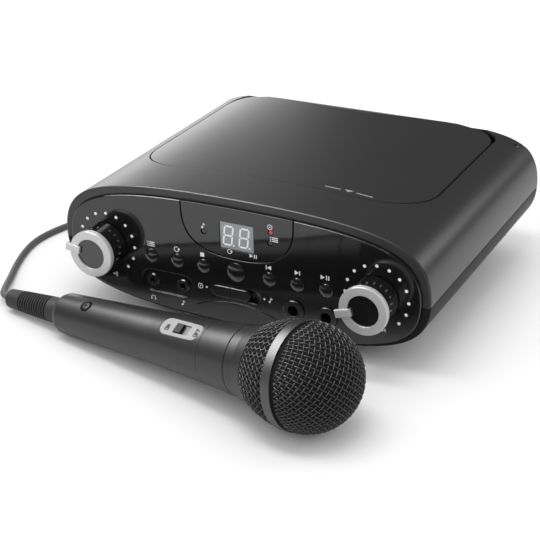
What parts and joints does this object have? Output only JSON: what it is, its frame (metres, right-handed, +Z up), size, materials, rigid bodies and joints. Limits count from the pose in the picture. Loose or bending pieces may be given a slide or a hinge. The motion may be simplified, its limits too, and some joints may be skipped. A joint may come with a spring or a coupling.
{
  "type": "karaoke machine with disc tray",
  "caption": "Tabletop karaoke player with hinged disc lid, front knobs, push buttons and sockets, and a corded hand microphone.",
  "frame": {"origin": "on the surface it stands on, under the middle of the machine and its microphone without the free cord", "axes": "+X right seen from the front, +Y from the front panel to the back, +Z up"},
  "size_m": [0.2986, 0.3542, 0.0835],
  "materials": {
    "base": "fine satin moulding",
    "board": "lacquered",
    "button": "polished black",
    "case": "fine satin moulding",
    "chassis": "plated sheet",
    "cord": "matt dark grey",
    "damper": "soft",
    "dc_black": "moulded",
    "display": "light grey panel",
    "fascia": "polished black",
    "foot_rubber": "matt",
    "gear": "moulded acetal",
    "jack_black": "moulded black",
    "knob": "polished black",
    "knob_ring": "silver paint",
    "latch": "moulded",
    "led_red": "diffused",
    "lens": "polished black",
    "lid": "fine satin moulding",
    "mic_band": "satin",
    "mic_body": "satin charcoal paint",
    "mic_boot": "matt grey",
    "mic_foam": "open foam over the capsule",
    "mic_mesh": "woven wire",
    "mic_plate": "silver paint",
    "mic_slider": "moulded grey",
    "motor": "plated can",
    "pickup_glass": "coated lens",
    "pin_steel": "plated",
    "plug_metal": "plated",
    "plunger": "moulded acetal",
    "pot_metal": "plated",
    "rca_metal": "plated",
    "rod_steel": "ground",
    "screw_steel": "zinc plated",
    "sled": "moulded",
    "slider": "moulded black",
    "switch_metal": "plated",
    "tray": "fine satin moulding",
    "turntable": "moulded"
  },
  "bodies": {
    "machine": {"top_shell": "case", "base_shell": "base", "case_screws": "screw_steel", "rubber_feet": "foot_rubber", "front_fascia": "fascia", "display_window": "lens", "display_module": "display", "indicator_leds": "led_red", "front_boards": "board", "headphone_jack": "jack_black", "aux_jack": "jack_black", "mic_jack_left": "jack_black", "mic_jack_right": "jack_black", "source_switch": "switch_metal", "echo_pot": "pot_metal", "volume_pot": "pot_metal", "hinge_pins": "pin_steel", "disc_tray": "tray", "latch_body": "latch", "mech_chassis": "chassis", "mech_dampers": "damper", "guide_rods": "rod_steel", "sled_motor": "motor", "spindle_motor": "motor", "main_board": "board", "rca_sockets": "rca_metal", "dc_socket": "dc_black", "mic_handle": "mic_body", "mic_switch_plate": "mic_plate", "mic_sleeve": "mic_body", "mic_grille_rear": "mic_mesh", "mic_grille_band": "mic_band", "mic_grille_front": "mic_mesh", "mic_capsule": "mic_foam", "mic_boot": "mic_boot", "mic_cord": "cord", "mic_cord_coil": "cord", "mic_plug": "plug_metal"},
    "lid": {"lid": "lid"},
    "latch_plunger": {"latch_plunger": "plunger"},
    "turntable": {"turntable": "turntable"},
    "pickup": {"pickup_sled": "sled", "pickup_lens": "pickup_glass"},
    "sled_gear": {"sled_gear": "gear"},
    "sled_pinion": {"sled_pinion": "gear"},
    "program_button": {"program_button": "button"},
    "repeat_button": {"repeat_button": "button"},
    "stop_button": {"stop_button": "button"},
    "power_button": {"power_button": "button"},
    "previous_button": {"previous_button": "button"},
    "next_button": {"next_button": "button"},
    "play_button": {"play_button": "button"},
    "echo": {"echo_knob": "knob", "echo_ring": "knob_ring"},
    "volume": {"volume_knob": "knob", "volume_ring": "knob_ring"},
    "source_slider": {"source_slider": "slider"},
    "mic_switch": {"mic_switch_slider": "mic_slider"}
  },
  "joints": [
    {"name": "lid_hinge", "type": "hinge", "parent": "machine", "child": "lid", "pos_m": [0, 0.12885, 0.07], "axis": [-1, 0, 0], "range_deg": [0, 68]},
    {"name": "latch_press", "type": "slide", "parent": "machine", "child": "latch_plunger", "axis": [0, 0, -1], "range_m": [0, 0.0015], "stiffness_N_per_m": 400},
    {"name": "turntable_spin", "type": "hinge", "parent": "machine", "child": "turntable", "pos_m": [0, 0.05785, 0.055], "axis": [0, 0, 1], "continuous": true},
    {"name": "pickup_slide", "type": "slide", "parent": "machine", "child": "pickup", "axis": [0, -1, 0], "range_m": [0, 0.034]},
    {"name": "sled_gear_turn", "type": "hinge", "parent": "machine", "child": "sled_gear", "pos_m": [0.03, 0.02985, 0.053], "axis": [0, 0, 1], "continuous": true},
    {"name": "sled_pinion_turn", "type": "hinge", "parent": "machine", "child": "sled_pinion", "pos_m": [0.03848, 0.03834, 0.053], "axis": [0, 0, 1], "continuous": true},
    {"name": "program_press", "type": "slide", "parent": "machine", "child": "program_button", "axis": [0, 1, 0], "range_m": [0, 0.0008], "stiffness_N_per_m": 500},
    {"name": "repeat_press", "type": "slide", "parent": "machine", "child": "repeat_button", "axis": [0, 1, 0], "range_m": [0, 0.0008], "stiffness_N_per_m": 500},
    {"name": "stop_press", "type": "slide", "parent": "machine", "child": "stop_button", "axis": [0, 1, 0], "range_m": [0, 0.0008], "stiffness_N_per_m": 500},
    {"name": "power_press", "type": "slide", "parent": "machine", "child": "power_button", "axis": [0, 1, 0], "range_m": [0, 0.0008], "stiffness_N_per_m": 500},
    {"name": "previous_press", "type": "slide", "parent": "machine", "child": "previous_button", "axis": [0, 1, 0], "range_m": [0, 0.0008], "stiffness_N_per_m": 500},
    {"name": "next_press", "type": "slide", "parent": "machine", "child": "next_button", "axis": [0, 1, 0], "range_m": [0, 0.0008], "stiffness_N_per_m": 500},
    {"name": "play_press", "type": "slide", "parent": "machine", "child": "play_button", "axis": [0, 1, 0], "range_m": [0, 0.0008], "stiffness_N_per_m": 500},
    {"name": "echo_turn", "type": "hinge", "parent": "machine", "child": "echo", "pos_m": [-0.085, -0.04615, 0.0429], "axis": [0, 1, 0], "range_deg": [-55, 215]},
    {"name": "volume_turn", "type": "hinge", "parent": "machine", "child": "volume", "pos_m": [0.085, -0.04615, 0.0429], "axis": [0, 1, 0], "range_deg": [-29, 241]},
    {"name": "source_slide", "type": "slide", "parent": "machine", "child": "source_slider", "axis": [1, 0, 0], "range_m": [0, 0.0056]},
    {"name": "mic_switch_slide", "type": "slide", "parent": "machine", "child": "mic_switch", "axis": [0.9749, -0.1983, 0.1015], "range_m": [0, 0.004]}
  ],
  "couplings": [
    {"joint": "sled_gear_turn", "follows": "pickup_slide", "rad_per_m": 125},
    {"joint": "sled_pinion_turn", "follows": "pickup_slide", "rad_per_m": -250}
  ]
}
